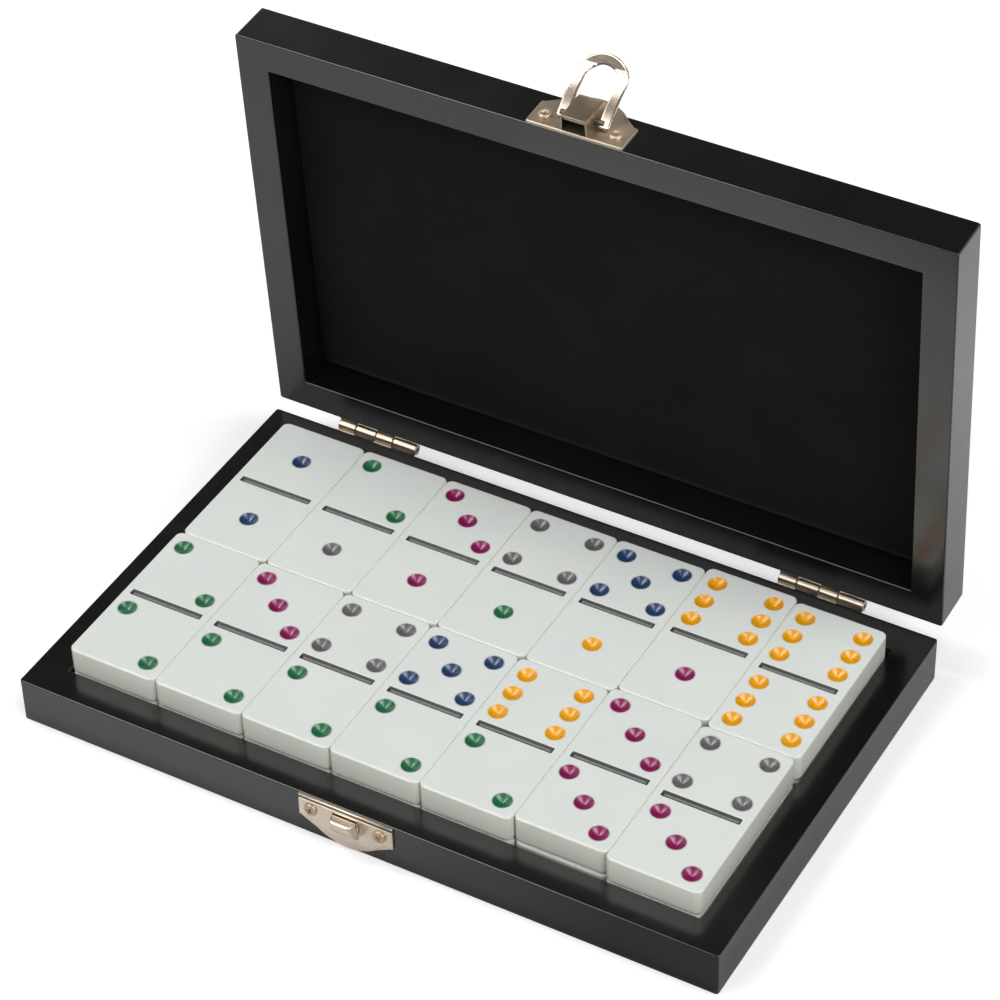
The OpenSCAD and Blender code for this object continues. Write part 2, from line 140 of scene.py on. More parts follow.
class Graph(Nodes):
    """A material, with short calls for its textures and its shader."""

    def __init__(self, name):
        self.material = bpy.data.materials.new(name)
        self.material.use_nodes = True
        super().__init__(self.material.node_tree)
        self.shader = self.tree.nodes["Principled BSDF"]
        self.place = self.add("ShaderNodeTexCoord").outputs["Object"]

    def set(self, **values):
        for key, value in values.items():
            self.shader.inputs[key.replace("_", " ")].default_value = value

    def stretched(self, scale):
        mapping = self.add("ShaderNodeMapping")
        mapping.inputs["Scale"].default_value = scale
        self.link(self.place, mapping.inputs["Vector"])
        return mapping.outputs["Vector"]

    def noise(self, scale, detail=3, rough=0.5, vector=None):
        node = self.add("ShaderNodeTexNoise")
        node.inputs["Scale"].default_value = scale
        node.inputs["Detail"].default_value = detail
        node.inputs["Roughness"].default_value = rough
        self.link(vector or self.place, node.inputs["Vector"])
        return node.outputs["Fac"]

    def specks(self, scale):
        node = self.add("ShaderNodeTexVoronoi")
        node.inputs["Scale"].default_value = scale
        self.link(self.place, node.inputs["Vector"])
        return node.outputs["Distance"]

    def ramp(self, value, stops):
        node = self.add("ShaderNodeValToRGB")
        elements = node.color_ramp.elements
        while len(elements) < len(stops):
            elements.new(0.5)
        for element, (position, colour) in zip(elements, stops):
            element.position = position
            element.color = (*colour[:3], 1)
        self.link(value, node.inputs["Fac"])
        return node.outputs["Color"]

    def mixed(self, factor, first, second):
        node = self.add("ShaderNodeMix", data_type="RGBA")
        self.link(factor, node.inputs["Factor"])
        for socket, value in ((node.inputs[6], first), (node.inputs[7], second)):
            if isinstance(value, tuple):
                socket.default_value = value
            else:
                self.link(value, socket)
        return node.outputs[2]

    def bump(self, height, strength, distance, below=None):
        node = self.add("ShaderNodeBump")
        node.inputs["Strength"].default_value = strength
        node.inputs["Distance"].default_value = distance
        self.link(height, node.inputs["Height"])
        if below:
            self.link(below, node.inputs["Normal"])
        return node.outputs["Normal"]

    def finish(self, colour=None, roughness=None, normal=None):
        if colour:
            self.link(colour, self.shader.inputs["Base Color"])
        if roughness:
            self.link(roughness, self.shader.inputs["Roughness"])
        if normal:
            self.link(normal, self.shader.inputs["Normal"])
        return self.material


def lacquer():
    """Satin black lacquer over close-grained wood."""
    g = Graph("black_lacquer")
    g.set(Specular_IOR_Level=0.9, IOR=1.55)
    grain = g.noise(260, 4, 0.6, g.stretched((0.12, 1, 1)))
    cloud = g.noise(28, 2)
    colour = g.ramp(cloud, [(0.3, (0.0040, 0.0041, 0.0036)), (0.7, (0.0070, 0.0070, 0.0062))])
    roughness = g.span(g.noise(90, 5, 0.65), 0.17, 0.25, 0.25, 0.75)
    skin = g.bump(g.noise(900, 2), 0.06, 0.00004)
    normal = g.bump(grain, 0.12, 0.00006, skin)
    return g.finish(colour, roughness, normal)


def felt():
    """Flocked black lining with a short nap and a few pale fibres."""
    g = Graph("black_felt")
    g.set(Specular_IOR_Level=0.12, Sheen_Weight=0.22, Sheen_Roughness=0.45)
    g.set(Sheen_Tint=srgb(150, 155, 140))
    nap = g.noise(2600, 4, 0.7)
    cloud = g.noise(45, 4, 0.6)
    dark = g.ramp(cloud, [(0.3, (0.0030, 0.0034, 0.0026)), (0.75, (0.0062, 0.0068, 0.0052))])
    fibre = g.span(g.specks(520), 1, 0, 0.03, 0.10)
    lint = g.span(g.noise(330, 1), 0, 1, 0.66, 0.72)
    colour = g.mixed(g.result_of("MULTIPLY", fibre, lint), dark, (0.055, 0.06, 0.05, 1))
    roughness = g.span(nap, 0.85, 1.0)
    normal = g.bump(nap, 0.9, 0.00025, g.bump(cloud, 0.3, 0.0006))
    return g.finish(colour, roughness, normal)


def nickel(name, tint, low, high):
    """Warm nickel plate with a satin surface, a little cloudy."""
    g = Graph(name)
    g.set(Metallic=1.0)
    satin = g.noise(1500, 3, 0.6, g.stretched((0.3, 1, 1)))
    cloud = g.noise(160, 3)
    dull = tuple(0.88 * value for value in tint[:3])
    colour = g.ramp(cloud, [(0.3, dull), (0.7, tint)])
    roughness = g.span(satin, low, high, 0.25, 0.75)
    normal = g.bump(satin, 0.04, 0.00001, g.bump(cloud, 0.03, 0.0001))
    return g.finish(colour, roughness, normal)


def resin(name="domino_resin", tint=(1, 1, 1)):
    """Polished white resin of the dominoes, faintly clouded."""
    g = Graph(name)
    g.set(Specular_IOR_Level=0.5, Subsurface_Weight=0.20, Subsurface_Scale=0.0015)
    g.set(Subsurface_Radius=(1.0, 0.9, 0.7))
    light, dark = srgb(233, 237, 232), srgb(228, 232, 228)
    light, dark = [tuple(c * t for c, t in zip(shade, tint)) for shade in (light, dark)]
    cloud = g.noise(60, 4, 0.6)
    colour = g.ramp(cloud, [(0.25, dark), (0.75, light)])
    roughness = g.span(g.noise(420, 2, 0.5), 0.15, 0.20, 0.3, 0.7)
    normal = g.bump(g.noise(140, 2), 0.03, 0.0003)
    return g.finish(colour, roughness, normal)


def paint(name, colour, gloss, coat=1.0):
    """Enamel in the spots and grooves, pooled a little darker here and there."""
    g = Graph(name)
    g.set(Coat_Weight=coat, Coat_Roughness=0.26)
    cloud = g.noise(900, 3, 0.6)
    dark = tuple(0.80 * value for value in colour[:3])
    shade = g.ramp(cloud, [(0.3, dark), (0.65, colour)])
    roughness = g.span(cloud, gloss, gloss + 0.10)
    return g.finish(shade, roughness, g.bump(cloud, 0.05, 0.0001))


WOOD = lacquer()
FELT = felt()
NICKEL = nickel("warm_nickel", srgb(222, 206, 187), 0.28, 0.36)
NICKEL_PLATE = nickel("plate_nickel", srgb(208, 191, 170), 0.40, 0.50)
NICKEL_KEEPER = nickel("keeper_nickel", srgb(250, 236, 218), 0.26, 0.34)
NICKEL_DULL = nickel("dull_nickel", srgb(182, 165, 144), 0.36, 0.46)
# Two darker copies of the nickel, painted shade: a grey-brown one for the dip along the base
# plate's rim, the loop's pegs and the hinge tabs, and a near-black one for the floors of
# slots and cuts and the housing's inside
NICKEL_PAINTED_SHADE = nickel("nickel_painted_shade", srgb(120, 110, 100), 0.40, 0.55)
NICKEL_RECESS_SHADE = nickel("nickel_recess_shade", srgb(48, 40, 35), 0.45, 0.65)
PINS = nickel("pin_nickel", srgb(205, 190, 172), 0.26, 0.36)
NICKEL_LOOP = nickel("loop_nickel", srgb(222, 206, 187), 0.17, 0.22)
SCREW = nickel("screw_nickel", srgb(226, 204, 176), 0.40, 0.50)
RESIN = resin()
# The same resin tinted creamier on the sides and back, painted light for the warmer light
# they catch
RESIN_SIDE_PAINTED_LIGHT = resin("domino_side_painted_light", (1.0, 0.985, 0.93))
# The groove's one paint as two copies: a paler one for its flat bottom, painted light, and a
# darker one for its sloping sides, painted shade
GROOVE_PAINTED_LIGHT = paint("groove_painted_light", srgb(138, 139, 135), 0.30, 0.2)
GROOVE_PAINTED_SHADE = paint("groove_painted_shade", srgb(58, 61, 58), 0.34, 0.1)
SPOT_COLOURS = {
    "blue": srgb(40, 68, 112),
    "green": srgb(34, 116, 74),
    "magenta": srgb(146, 22, 92),
    "grey": srgb(112, 108, 108),
    "yellow": srgb(252, 176, 6),
}
SPOT_GLOSS = 0.24
HALO_TINT = 0.28          # how much of its spot's colour the resin round it takes
PAINTS = {name: paint("spot_" + name, colour, SPOT_GLOSS)
          for name, colour in SPOT_COLOURS.items()}
HALOS = {name: resin("halo_" + name,
                     tuple(1 - HALO_TINT + HALO_TINT * value for value in colour[:3]))
         for name, colour in SPOT_COLOURS.items()}


# ---------------------------------------------------------------- mesh helpers

def piece(name, bm, place, materials, body, replaced):
    """Puts a mesh in the scene in place of the CAD nodes it stands for."""
    bmesh.ops.transform(bm, matrix=place, verts=bm.verts)
    bmesh.ops.recalc_face_normals(bm, faces=bm.faces)
    mesh = bpy.data.meshes.new(name)
    bm.to_mesh(mesh)
    bm.free()
    for face in mesh.polygons:
        face.use_smooth = True
    for material in materials:
        mesh.materials.append(material)
    thing = bpy.data.objects.new(name, mesh)
    bpy.context.scene.collection.objects.link(thing)
    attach(thing, body)
    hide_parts(*replaced)
    return thing


def rounded_loop(half_x, half_y, radius, steps):
    """Points of a rounded rectangle, anticlockwise, steps + 1 to each corner."""
    points = []
    for corner, (sx, sy) in enumerate(((1, 1), (-1, 1), (-1, -1), (1, -1))):
        for step in range(steps + 1):
            angle = math.pi / 2 * (corner + step / steps)
            points.append((sx * (half_x - radius) + radius * math.cos(angle),
                           sy * (half_y - radius) + radius * math.sin(angle)))
    return points


def bridge(bm, first, second, material=0):
    """Quads between two loops of equally many vertices."""
    count = len(first)
    for i in range(count):
        j = (i + 1) % count
        face = bm.faces.new((first[i], first[j], second[j], second[i]))
        face.material_index = material


def loft(bm, loops, material=0):
    """A closed skin over a row of loops, with a flat face at each end."""
    for first, second in zip(loops, loops[1:]):
        bridge(bm, first, second, material)
    for loop in (loops[0], loops[-1]):
        bm.faces.new(loop).material_index = material


def circle(radius, steps, centre=(0, 0)):
    return [(centre[0] + radius * math.cos(2 * math.pi * i / steps),
             centre[1] + radius * math.sin(2 * math.pi * i / steps)) for i in range(steps)]


def quarter(radius, steps):
    """(sideways, down) places round a quarter circle, from its top to its side."""
    return [(radius * math.sin(math.pi / 2 * i / steps),
             radius * (1 - math.cos(math.pi / 2 * i / steps))) for i in range(steps + 1)]


def ring(bm, points, z):
    """The vertices of a flat loop at one height."""
    return [bm.verts.new((x, y, z)) for x, y in points]


def inside(point, loop):
    """Whether a point lies inside a closed outline."""
    hit = False
    x, y = point
    for (ax, ay), (bx, by) in zip(loop, loop[1:] + loop[:1]):
        if (ay > y) != (by > y) and x < (bx - ax) * (y - ay) / (by - ay) + ax:
            hit = not hit
    return hit


def flat_face(bm, outer, holes=(), guides=()):
    """Triangles between an outer loop of vertices and the hole loops, through the guides."""
    loops = [outer, *holes, *guides]
    points = []
    edges = []
    owners = []
    for loop in loops:
        start = len(points)
        points += [Vector(v.co.xy) for v in loop]
        owners += loop
        edges += [(start + i, start + (i + 1) % len(loop)) for i in range(len(loop))]
    triangles = geometry.delaunay_2d_cdt(points, edges, [], 1, 1e-9, True)
    vertices, _, faces, origins = triangles[:4]
    outlines = [[tuple(v.co.xy) for v in loop] for loop in holes]
    for face in faces:
        centre = sum((vertices[i] for i in face), Vector((0, 0))) / 3
        if any(inside(centre, outline) for outline in outlines):
            continue
        bm.faces.new([owners[origins[i][0]] for i in face])


# ---------------------------------------------------------------- case

EDGE = 0.28 * MM          # eased outer edges
INNER_EDGE = 0.3 * MM     # eased inner edges of the rims
HOLD = 0.2 * MM           # width of the strip that keeps a flat flat beside an edge
CORNER = 0.8 * MM
RIM_GAP = 0.02 * MM       # the shut rims meet with this much air
INNER_CORNER = 0.3 * MM
CORNER_STEPS = 6
EDGE_STEPS = 4


def frame_profile(height, width):
    """(inset, height) round the section of a rail, outer foot first, the rim on top."""
    foot = [(EDGE - side, down) for side, down in quarter(EDGE, EDGE_STEPS)]
    outer = foot + [(0, EDGE + HOLD), (0, height - EDGE - HOLD)]
    outer += [(EDGE - side, height - down)
              for side, down in reversed(quarter(EDGE, EDGE_STEPS))]
    rim = [(EDGE + HOLD, height), (width - INNER_EDGE - HOLD, height)]
    inner = [(width - INNER_EDGE + side, height - down)
             for side, down in quarter(INNER_EDGE, EDGE_STEPS)]
    inner += [(width, height - INNER_EDGE - HOLD), (width, HOLD), (width, 0)]
    return outer + rim + inner + [(width - HOLD, 0), (EDGE + HOLD, 0)]


def case_frame(name, height, place, body):
    """The four rails as the one lacquered frame that they make."""
    bm = bmesh.new()
    loops = []
    for inset, z in frame_profile(height, RAIL):
        radius = max(CORNER - inset, INNER_CORNER)
        points = rounded_loop(CASE_LENGTH / 2 - inset, CASE_DEPTH / 2 - inset, radius,
                              CORNER_STEPS)
        loops.append(ring(bm, points, z))
    for first, second in zip(loops, loops[1:] + loops[:1]):
        bridge(bm, first, second)
    rails = [f"{body}_{side}_rail" for side in ("front", "back", "left", "right")]
    piece(name, bm, place, [WOOD], body, rails)


# The base's rim is up; the lid's rim is down when it is shut
case_frame("base_case", BASE_HEIGHT, Matrix.Identity(4), "base")
upside_down = (SWING @ Matrix.Translation((0, 0, BASE_HEIGHT + LID_HEIGHT))
               @ Matrix.Diagonal((1, 1, -1, 1)))
case_frame("lid_case", LID_HEIGHT - RIM_GAP, upside_down, "lid")

for board in ("base_floor", "lid_panel_board"):
    nodes[board].data.materials.clear()
    nodes[board].data.materials.append(WOOD)


# ---------------------------------------------------------------- linings

FELT_MARGIN = 0.15 * MM   # between the felt and the rails
FELT_ROLL = 0.5 * MM      # width over which the felt falls away at its edge
FELT_FALL = 0.45          # share of its thickness that the edge loses
FELT_SUNK = 0.10 * MM     # keeps the uneven top under the CAD sheet's
FELT_WAVE = 0.06 * MM
FELT_COLUMNS, FELT_ROWS = 90, 54


def lining(name, low, high, place, face_up, body, node):
    """A glued felt sheet: soft at its edges, very slightly uneven."""
    bm = bmesh.new()
    grid = []
    for j in range(FELT_ROWS + 1):
        line = []
        for i in range(FELT_COLUMNS + 1):
            x = low.x + FELT_MARGIN + (high.x - low.x - 2 * FELT_MARGIN) * i / FELT_COLUMNS
            y = low.y + FELT_MARGIN + (high.y - low.y - 2 * FELT_MARGIN) * j / FELT_ROWS
            edge = min(x - low.x, high.x - x, y - low.y, high.y - y)
            fall = max(0.0, 1 - edge / FELT_ROLL) ** 2
            # Long and short waves, in radians to the metre
            wave = FELT_WAVE * (math.sin(x * 210 + 1) * math.sin(y * 170)
                                + 0.6 * math.sin(x * 530 + y * 410))
            top = (high.z - low.z) * (1 - FELT_FALL * fall) - FELT_SUNK + wave * (1 - fall)
            line.append(bm.verts.new((x, y, low.z + top if face_up else high.z - top)))
        grid.append(line)
    border = (grid[0][:-1] + [line[-1] for line in grid[:-1]]
              + grid[-1][:0:-1] + [line[0] for line in grid[:0:-1]])
    under = ring(bm, [vertex.co.xy for vertex in border], low.z if face_up else high.z)
    for j in range(FELT_ROWS):
        for i in range(FELT_COLUMNS):
            bm.faces.new((grid[j][i], grid[j][i + 1], grid[j + 1][i + 1], grid[j + 1][i]))
    bridge(bm, border, under)
    bm.faces.new(under)
    sheet = piece(name, bm, place, [FELT], body, [node])


base_felt_low, base_felt_high = corners("base_lining")
lining("base_felt", base_felt_low, base_felt_high, Matrix.Identity(4), True, "base",
       "base_lining")
lining("lid_felt", lid_felt_low, lid_felt_high, SWING, False, "lid",
       "lid_lining")


# ---------------------------------------------------------------- dominoes

TILE_CORNER = 1.9 * MM
TILE_CORNER_STEPS = 7
TILE_EDGE = 0.45 * MM
TILE_BACK_EDGE = 1.5 * MM
LEAST_CORNER = 0.4 * MM   # left of the corners where the edges round inwards
GROW = 0.12 * MM          # closes most of the play that the CAD leaves between them
WALL = CASE_LENGTH / 2 - RAIL - 0.04 * MM   # as far sideways as a domino grows
PIP_RADIUS = 2.5 * MM
PIP_DEPTH = 1.1 * MM
PIP_SIDE = 8 * MM
PIP_STEP = 7.33 * MM
PIP_SIDES = 36
HALO = 0.3 * MM
HALF_SHIFT = 0.4 * MM
GROOVE_LENGTH = 21.2 * MM
GROOVE_WIDTH = 2.0 * MM
GROOVE_CORNER = 0.3 * MM
SUPPORT = 0.12 * MM       # width of the strips that keep the face flat beside its cuts

# Places of a domino's materials: the groove's bottom and sides, painted light and shade, the
# two spot colours, the rings round them, and the domino's sides and back, painted light
PAINTED_LIGHT_BOTTOM, PAINTED_SHADE_SLOPES, FIRST_PAINT, FIRST_HALO, FLANKS = 1, 2, 3, 5, 7

# Each domino: the spots of the half next to the hinges, then of the other half
DOMINOES = {
    "upper_back": [(1, 1), (2, 1), (3, 1), (4, 1), (5, 1), (6, 1), (6, 6)],
    "upper_front": [(2, 2), (3, 2), (4, 2), (5, 2), (6, 2), (3, 3), (4, 3)],
    "lower_back": [(0, 0), (1, 0), (2, 0), (3, 0), (4, 0), (5, 0), (6, 0)],
    "lower_front": [(5, 3), (6, 3), (4, 4), (5, 4), (6, 4), (5, 5), (6, 5)],
}
# The colour of each count; a single spot's goes by the count of the other half
COLOURS = {0: "blue", 2: "green", 3: "magenta", 4: "grey", 5: "blue", 6: "yellow"}
SINGLES = {0: "blue", 1: "blue", 2: "grey", 3: "magenta", 4: "green", 5: "yellow",
           6: "magenta"}

ONE = [(0, 0)]
TWO = [(-1, 1), (1, -1)]
FOUR = [(-1, -1), (-1, 1), (1, -1), (1, 1)]
SPOTS = {0: [], 1: ONE, 2: TWO, 3: ONE + TWO, 4: FOUR, 5: ONE + FOUR,
         6: FOUR + [(-1, 0), (1, 0)]}


def sink_pip(bm, rim, centre, top, paint, halo):
    """A drilled cone under a slightly softened rim, in a faint ring of its colour."""
    lip = ring(bm, circle(PIP_RADIUS, PIP_SIDES, centre), top)
    bridge(bm, rim, lip, halo)
    last = lip
    for share, down, index in ((0.985, 0.02, halo), (0.955, 0.08, paint), (0.93, 0.12, paint),
                               (0.50, 0.56, paint), (0.12, 0.94, paint)):
        loop = ring(bm, circle(share * PIP_RADIUS, PIP_SIDES, centre), top - down * PIP_DEPTH)
        bridge(bm, last, loop, index)
        last = loop
    tip = bm.verts.new((centre[0], centre[1], top - PIP_DEPTH))
    for i in range(PIP_SIDES):
        face = bm.faces.new((last[i], last[(i + 1) % PIP_SIDES], tip))
        face.material_index = paint


def groove_loop(inset):
    corner = max(GROOVE_CORNER - 0.3 * inset, 0.08 * MM)
    return rounded_loop(GROOVE_LENGTH / 2 - inset, GROOVE_WIDTH / 2 - inset, corner, 4)


def sink_groove(bm, rim, top):
    """The dividing groove, one paint in two copies: sloping sides darker as painted shade,
    the flat bottom paler as painted light.
    """
    last = rim
    for inset, down, index in ((0, 0, 0), (0.05, 0.03, PAINTED_SHADE_SLOPES), (0.66, 0.44, PAINTED_SHADE_SLOPES),
                               (0.70, 0.46, PAINTED_LIGHT_BOTTOM), (0.76, 0.46, PAINTED_LIGHT_BOTTOM)):
        loop = ring(bm, groove_loop(inset * MM), top - down * MM)
        bridge(bm, last, loop, index)
        last = loop
    bm.faces.new(last).material_index = PAINTED_LIGHT_BOTTOM


def domino(name, node, halves):
    """One domino with its rounded edges, its groove and its drilled, painted spots."""
    low, high = corners(node)
    low = Vector((max(low.x - GROW, -WALL), low.y - GROW, low.z))
    high = Vector((min(high.x + GROW, WALL), high.y + GROW, high.z))
    half = (high - low) / 2
    bm = bmesh.new()

    outline = [(TILE_EDGE + 2 * SUPPORT, half.z)]
    outline += [(TILE_EDGE - side, half.z - down) for side, down in quarter(TILE_EDGE, 4)]
    outline += [(0, half.z - TILE_EDGE - SUPPORT), (0, TILE_BACK_EDGE + SUPPORT - half.z)]
    outline += [(TILE_BACK_EDGE - side, down - half.z)
                for side, down in reversed(quarter(TILE_BACK_EDGE, 7))]
    outline += [(TILE_BACK_EDGE + 2 * SUPPORT, -half.z)]
    loops = []
    for inset, z in outline:
        radius = max(TILE_CORNER - inset, LEAST_CORNER)
        loops.append(ring(bm, rounded_loop(half.x - inset, half.y - inset, radius,
                                           TILE_CORNER_STEPS), z))
    # Sides and back in the creamier copy of the resin, painted light
    for index, (first, second) in enumerate(zip(loops, loops[1:])):
        bridge(bm, first, second, FLANKS if index > 2 else 0)
    bm.faces.new(loops[-1]).material_index = FLANKS

    holes = []
    for index, count in enumerate(halves):
        middle = (1 if index == 0 else -1) * ((half.y - GROW) / 2 + HALF_SHIFT)
        for x, y in SPOTS[count]:
            spot = (x * PIP_SIDE, middle + y * PIP_STEP)
            rim = ring(bm, circle(PIP_RADIUS + HALO, PIP_SIDES, spot), half.z)
            sink_pip(bm, rim, spot, half.z, FIRST_PAINT + index, FIRST_HALO + index)
            holes.append(rim)
    rim = ring(bm, groove_loop(-SUPPORT), half.z)
    sink_groove(bm, rim, half.z)
    holes.append(rim)
    flat_face(bm, loops[0], holes)

    colours = [SINGLES[other] if count == 1 else COLOURS[count]
               for count, other in zip(halves, reversed(halves))]
    materials = [RESIN, GROOVE_PAINTED_LIGHT, GROOVE_PAINTED_SHADE] + [PAINTS[c] for c in colours]
    materials += [HALOS[c] for c in colours] + [RESIN_SIDE_PAINTED_LIGHT]
    piece(name, bm, Matrix.Translation((low + high) / 2), materials, node, [node])


for place, row in DOMINOES.items():
    for column, halves in enumerate(row, 1):
        domino(f"tile_{place}_{column}", f"domino_{place}_{column}", halves)


# ---------------------------------------------------------------- hardware

PAINTED_SHADE_INDEX = 1                  # place of a piece of hardware's darker material, a painted shade
plate_low, plate_high = corners("catch_base_plate")
CATCH_X = (plate_low.x + plate_high.x) / 2
FRONT_Y = -CASE_DEPTH / 2
PLATE = 0.8 * MM
PLATE_WIDTH = plate_high.x - plate_low.x
LEDGE = 2.6 * MM
SCREW_SPREAD = 19.4 * MM
SCREW_INSET = 3.8 * MM
HEAD_RADIUS = 1.8 * MM
HEAD_HEIGHT = 1.0 * MM
HEAD_SIDES = 40
CROWN = 1.58 * MM         # radius of the head's domed top
CROSS_REACH = 1.02 * MM
CROSS_HALF = 0.24 * MM    # half the width of the cross slot

# Catch frame: X along the front, Y away from the rim along the face, Z out of the wood
ON_LID = SWING @ Matrix(((1, 0, 0, CATCH_X), (0, 0, -1, FRONT_Y), (0, 1, 0, BASE_HEIGHT),
                         (0, 0, 0, 1)))
ON_BASE = Matrix(((1, 0, 0, CATCH_X), (0, 0, -1, FRONT_Y), (0, -1, 0, BASE_HEIGHT),
                  (0, 0, 0, 1)))


def inset_outline(points, amount):
    """An anticlockwise outline moved inwards, mitred at its corners."""
    moved = []
    count = len(points)
    for i in range(count):
        before, here, after = (Vector(points[(i + k) % count]) for k in (-1, 0, 1))
        first = (here - before).normalized()
        second = (after - here).normalized()
        normal = Vector((-first.y - second.y, first.x + second.x))
        if normal.length < 1e-6:
            normal = Vector((-first.y, first.x))
        normal.normalize()
        # Held back at sharp corners, where a mitre would run far out
        stretch = max(0.35, normal.dot(Vector((-first.y, first.x))))
        moved.append(tuple(here + normal * amount / stretch))
    return moved


def soften_corners(points, radius, steps=4):
    """An outline with its sharp corners rounded by arcs."""
    result = []
    count = len(points)
    for i in range(count):
        before, here, after = (Vector(points[(i + k) % count]) for k in (-1, 0, 1))
        back = before - here
        ahead = after - here
        turn = back.normalized().angle(ahead.normalized(), math.pi)
        # Nearly straight on: a point of an arc, which stays
        if turn > math.radians(150):
            result.append(tuple(here))
            continue
        reach = min(radius / math.tan(turn / 2), 0.45 * back.length, 0.45 * ahead.length)
        start = here + back.normalized() * reach
        end = here + ahead.normalized() * reach
        for step in range(steps + 1):
            t = step / steps
            result.append(tuple((1 - t) ** 2 * start + 2 * t * (1 - t) * here + t * t * end))
    return result


def pressed_sheet(bm, outline, bottom, top, edge, holes=(), sunk=0.0):
    """A flat pressed part: rounded front edge, and holes sunk to a floor in painted shade."""
    loops = [ring(bm, outline, bottom)]
    for side, down in reversed(quarter(edge, 4)):
        loops.append(ring(bm, inset_outline(outline, edge - side), top - down))
    loops.append(ring(bm, inset_outline(outline, edge + 0.1 * MM), top))
    for first, second in zip(loops, loops[1:]):
        bridge(bm, first, second)
    bm.faces.new(loops[0])
    rims = []
    for hole in holes:
        rim = ring(bm, hole, top)
        lip = ring(bm, inset_outline(hole, 0.04 * MM), top - 0.05 * MM)
        floor = ring(bm, inset_outline(hole, 0.05 * MM), top - sunk)
        bridge(bm, rim, lip)
        bridge(bm, lip, floor, PAINTED_SHADE_INDEX)
        bm.faces.new(floor).material_index = PAINTED_SHADE_INDEX
        rims.append(rim)
    flat_face(bm, loops[-1], rims)


def plate_outline(ear, lobe, half_width):
    """Square ears at the rim and a round lobe beyond them, anticlockwise."""
    half_lobe = half_width - LEDGE
    rise = lobe - ear
    radius = (half_lobe ** 2 + rise ** 2) / (2 * rise)
    reach = math.asin(half_lobe / radius)
    points = [(-half_width, 0), (half_width, 0), (half_width, ear)]
    for i in range(41):
        angle = reach * (1 - i / 20)
        points.append((radius * math.sin(angle), lobe - radius * (1 - math.cos(angle))))
    points.append((-half_width, ear))
    return points


def rod(bm, start, end, outline, steps):
    """A turned part between two points; outline is (distance along, radius) pairs."""
    axis = (end - start).normalized()
    side = axis.orthogonal().normalized()
    other = axis.cross(side)
    rays = [x * side + y * other for x, y in circle(1, steps)]
    loops = []
    for along, radius in outline:
        centre = start + axis * along
        loops.append([bm.verts.new(centre + radius * ray) for ray in rays])
    loft(bm, loops)


def turned_rod(bm, start, end, radius, edge, steps=48):
    """A round bar with rounded rims at both ends."""
    length = (end - start).length
    left = [(down, radius - edge + side) for side, down in quarter(edge, 4)]
    outline = [(0, 0.3 * radius)] + left + [(edge + HOLD, radius)]
    outline += [(length - a, r) for a, r in reversed(outline)]
    rod(bm, start, end, outline, steps)


def block(bm, low, high, edge, material=0):
    """A block with rounded edges, drawn along its longest side."""
    size = [high[i] - low[i] for i in range(3)]
    axis = size.index(max(size))
    a, b = [i for i in range(3) if i != axis]
    edge = min(edge, 0.45 * size[a], 0.45 * size[b])
    loops = []
    for at, inset in ((low[axis], edge / 2), (low[axis] + edge, 0),
                      (high[axis] - edge, 0), (high[axis], edge / 2)):
        half = (size[a] / 2 - inset, size[b] / 2 - inset)
        loop = []
        for u, v in rounded_loop(half[0], half[1], edge - inset, 3):
            point = [0, 0, 0]
            point[axis] = at
            point[a] = (low[a] + high[a]) / 2 + u
            point[b] = (low[b] + high[b]) / 2 + v
            loop.append(bm.verts.new(point))
        loops.append(loop)
    loft(bm, loops, material)


def join_mesh(bm, other):
    """Adds another mesh to this one."""
    mesh = bpy.data.meshes.new("part")
    other.to_mesh(mesh)
    other.free()
    bm.from_mesh(mesh)
    bpy.data.meshes.remove(mesh)


# ---- Screws

def screw_head(bm, place, spin):
    """A pan head with its cross slot, standing on Z = 0 of its place."""
    head = bmesh.new()
    arm = ((CROSS_HALF, -CROSS_HALF), (CROSS_REACH, -CROSS_HALF), (CROSS_REACH, CROSS_HALF))
    cross = []
    for q in range(4):
        turn = Matrix.Rotation(spin + q * math.pi / 2, 2)
        cross += [tuple(turn @ Vector(point)) for point in arm]
    rim = ring(head, circle(CROWN, HEAD_SIDES), 0)
    slot = ring(head, cross, 0)
    flat_face(head, rim, [slot], [ring(head, circle(1.3 * MM, 28), 0)])
    for vertex in head.verts:
        out = vertex.co.xy.length / HEAD_RADIUS
        vertex.co.z = HEAD_HEIGHT * (1 - 0.38 * out ** 2.2)
    # The slot's floor in the near-black nickel, a painted shade
    floor = ring(head, inset_outline(cross, 0.07 * MM), 0.38 * HEAD_HEIGHT)
    bridge(head, slot, floor)
    head.faces.new(floor).material_index = PAINTED_SHADE_INDEX
    last = rim
    for share, height in ((0.94, 0.62), (0.98, 0.50), (1.0, 0.38), (1.0, 0.1), (0.97, 0)):
        loop = ring(head, circle(share * HEAD_RADIUS, HEAD_SIDES), height * HEAD_HEIGHT)
        bridge(head, last, loop)
        last = loop
    head.faces.new(last)
    bmesh.ops.transform(head, matrix=place, verts=head.verts)
    join_mesh(bm, head)


def screws(name, places, body, node):
    """A group of like screws, each turned to its own angle."""
    bm = bmesh.new()
    for index, place in enumerate(places):
        screw_head(bm, place, 0.3 + 0.8 * index)
    piece(name, bm, Matrix.Identity(4), [SCREW, NICKEL_RECESS_SHADE], body, [node])


def catch_screw_places(frame_matrix):
    return [frame_matrix @ Matrix.Translation((side * SCREW_SPREAD / 2, SCREW_INSET, PLATE))
            for side in (-1, 1)]


screws("lid_plate_screws", catch_screw_places(ON_LID), "lid", "catch_lid_screws")
screws("base_plate_screws", catch_screw_places(ON_BASE), "base", "catch_base_screws")


# ---- Catch plates

